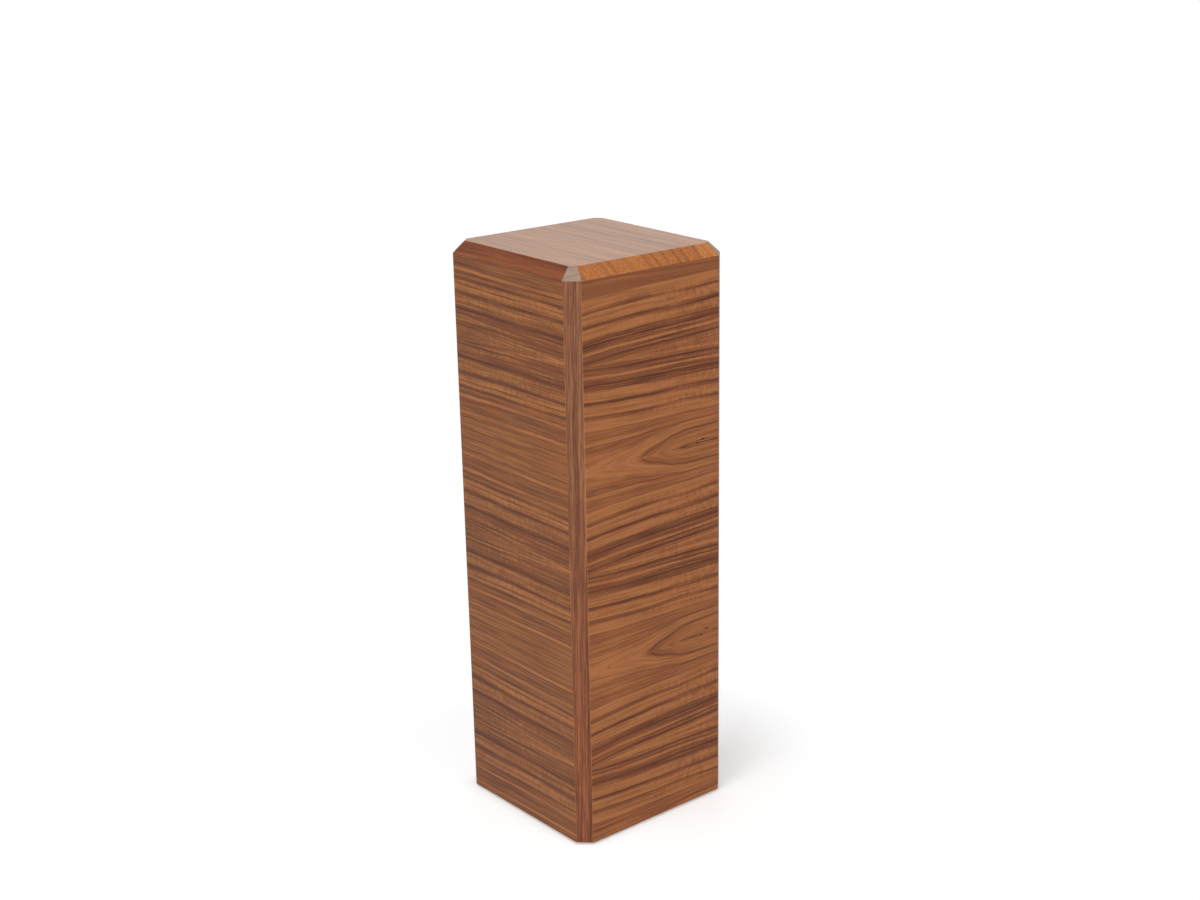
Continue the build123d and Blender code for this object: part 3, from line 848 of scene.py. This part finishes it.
stage = {
    "floorReach": 40.0,  # from the middle to each edge, metres
    "paper": 0.82,  # the shade that lights the object from below
    "seenPaper": 0.88, "seenGlow": 0.31,  # the lit paper, as it is seen right round the object
    "white": 1.02,  # the glow of the plain white, a little over what just shows as white
    "far": (0.2, 0.5),  # the lit paper turns into plain white between these distances from the middle
    "beside": 0.02, "besideShare": 0.65,  # and already does so by this share this far beside a side
    "shadowPlace": (0.19, -0.15), "shadowReach": (0.06, 0.30),  # but not where the shadow falls
    "sky": 0.38,  # soft light all round
    "ceiling": 0.30, "ceilingRise": (0.25, 0.6),  # gloss sees white walls under a dimmer ceiling
}
lamps = {
    "overhead": {"place": (-0.60, -0.30, 2.9), "aim": (-0.1, -0.1, 0.9), "size": 1.0, "watts": 21.0},
    "key": {"place": (-3.3, -0.9, 1.4), "aim": (0.0, 0.0, 0.4), "size": 1.8, "watts": 50.0},
    "fill": {"place": (0.7, -3.4, 1.4), "aim": (0.0, 0.0, 0.5), "size": 2.2, "watts": 38.0},
    "rear": {"place": (2.3, 2.6, 0.8), "aim": (0.0, 0.0, 0.5), "size": 1.6, "watts": 22.0,
             "gloss": False},
    "back": {"place": (2.6, 2.85, 1.85), "aim": (0.0, 0.0, 0.9), "size": 1.5, "watts": 2.4},
}


def makeFloor():
    mesh = bpy.data.meshes.new("floor")
    reach = stage["floorReach"]
    corners = [(-reach, -reach, 0), (reach, -reach, 0), (reach, reach, 0), (-reach, reach, 0)]
    mesh.from_pydata(corners, [], [(0, 1, 2, 3)])
    floor = bpy.data.objects.new("floor", mesh)
    bpy.context.scene.collection.objects.link(floor)
    material = bpy.data.materials.new("floor paper")
    material.use_nodes = True
    tree = material.node_tree
    tree.nodes.clear()

    def paper(shade):
        node = addNode(tree, "BsdfDiffuse")
        node.inputs["Color"].default_value = (shade, shade, shade, 1.0)
        return node.outputs[0]

    def glow(strength):
        node = addNode(tree, "Emission")
        node.inputs["Strength"].default_value = strength
        return node.outputs[0]

    lit = addNode(tree, "AddShader")
    plug(tree, lit.inputs[0], paper(stage["seenPaper"]))
    plug(tree, lit.inputs[1], glow(stage["seenGlow"]))
    x, y, _ = parts(tree, addNode(tree, "TexCoord").outputs["Object"])
    edge = half / millimetres
    outside = calc(tree, "MAXIMUM", calc(tree, "ABSOLUTE", x), calc(tree, "ABSOLUTE", y))
    besideIt = rise(tree, outside, edge, edge + stage["beside"])
    offShadow = rise(tree, distanceFrom(tree, x, y, stage["shadowPlace"]), *stage["shadowReach"])
    near = times(tree, besideIt, stage["besideShare"], offShadow)
    far = rise(tree, distanceFrom(tree, x, y, (0.0, 0.0)), *stage["far"])
    seen = choose(tree, calc(tree, "MAXIMUM", near, far), lit.outputs[0], glow(stage["white"]))
    path = addNode(tree, "LightPath").outputs
    mirrored = calc(tree, "ADD", path["Is Glossy Ray"], path["Is Transmission Ray"])
    looking = calc(tree, "ADD", path["Is Camera Ray"], mirrored, clamp=True)
    surface = choose(tree, looking, paper(stage["paper"]), seen)
    plug(tree, addNode(tree, "OutputMaterial").inputs["Surface"], surface)
    floor.data.materials.append(material)


def makeSky():
    world = bpy.data.worlds.new("studio")
    world.use_nodes = True
    tree = world.node_tree
    tree.nodes.clear()

    def background(strength):
        node = addNode(tree, "Background")
        node.inputs["Color"].default_value = (1.0, 1.0, 1.0, 1.0)
        plug(tree, node.inputs["Strength"], strength)
        return node.outputs[0]

    path = addNode(tree, "LightPath").outputs
    up = parts(tree, addNode(tree, "TexCoord").outputs["Generated"])[2]
    dimming = times(tree, rise(tree, up, *stage["ceilingRise"]), stage["ceiling"] - 1.0)
    mirrored = calc(tree, "ADD", path["Is Glossy Ray"], path["Is Transmission Ray"], clamp=True)
    walls = background(calc(tree, "ADD", dimming, 1.0))
    light = choose(tree, mirrored, background(stage["sky"]), walls)
    light = choose(tree, path["Is Camera Ray"], light, background(1.0))
    plug(tree, addNode(tree, "OutputWorld").inputs["Surface"], light)
    bpy.context.scene.world = world


def makeLamp(name, lamp):
    data = bpy.data.lights.new(name, "AREA")
    data.shape = "SQUARE"
    data.size = lamp["size"]
    data.energy = lamp["watts"]
    obj = bpy.data.objects.new(name, data)
    obj.location = lamp["place"]
    toward = [aim - start for aim, start in zip(lamp["aim"], lamp["place"])]
    level = math.hypot(toward[0], toward[1])
    obj.rotation_euler = (math.atan2(level, -toward[2]), 0.0, math.atan2(-toward[0], toward[1]))
    obj.visible_camera = False
    obj.visible_glossy = lamp.get("gloss", True)  # the top board would mirror the rear one
    bpy.context.scene.collection.objects.link(obj)


# The camera, as solved from the picture's straight edges: places in pixels of its 1200 by 900 frame

camera = {
    "azimuth": -42.392, "elevation": 19.302, "place": (-1.7568, -2.1881, 1.4814),
    "frameWidth": 1200, "frameHeight": 900, "focalPixels": 1873.8, "axisPixel": (704.0, 501.6),
    "sensorWidth": 36.0,  # mm
}


def makeCamera():
    data = bpy.data.cameras.new("camera")
    width = camera["frameWidth"]
    data.sensor_width = camera["sensorWidth"]
    data.lens = camera["focalPixels"] / width * data.sensor_width
    data.shift_x = (width / 2 - camera["axisPixel"][0]) / width
    data.shift_y = (camera["axisPixel"][1] - camera["frameHeight"] / 2) / width
    obj = bpy.data.objects.new("camera", data)
    obj.location = camera["place"]
    obj.rotation_euler = (math.radians(90 - camera["elevation"]), 0.0, math.radians(camera["azimuth"]))
    bpy.context.scene.collection.objects.link(obj)
    bpy.context.scene.camera = obj


makeFloor()
makeSky()
for name, lamp in lamps.items():
    makeLamp(name, lamp)
makeCamera()
bpy.context.scene.view_settings.view_transform = "Standard"
print("stage, lamps and camera set")
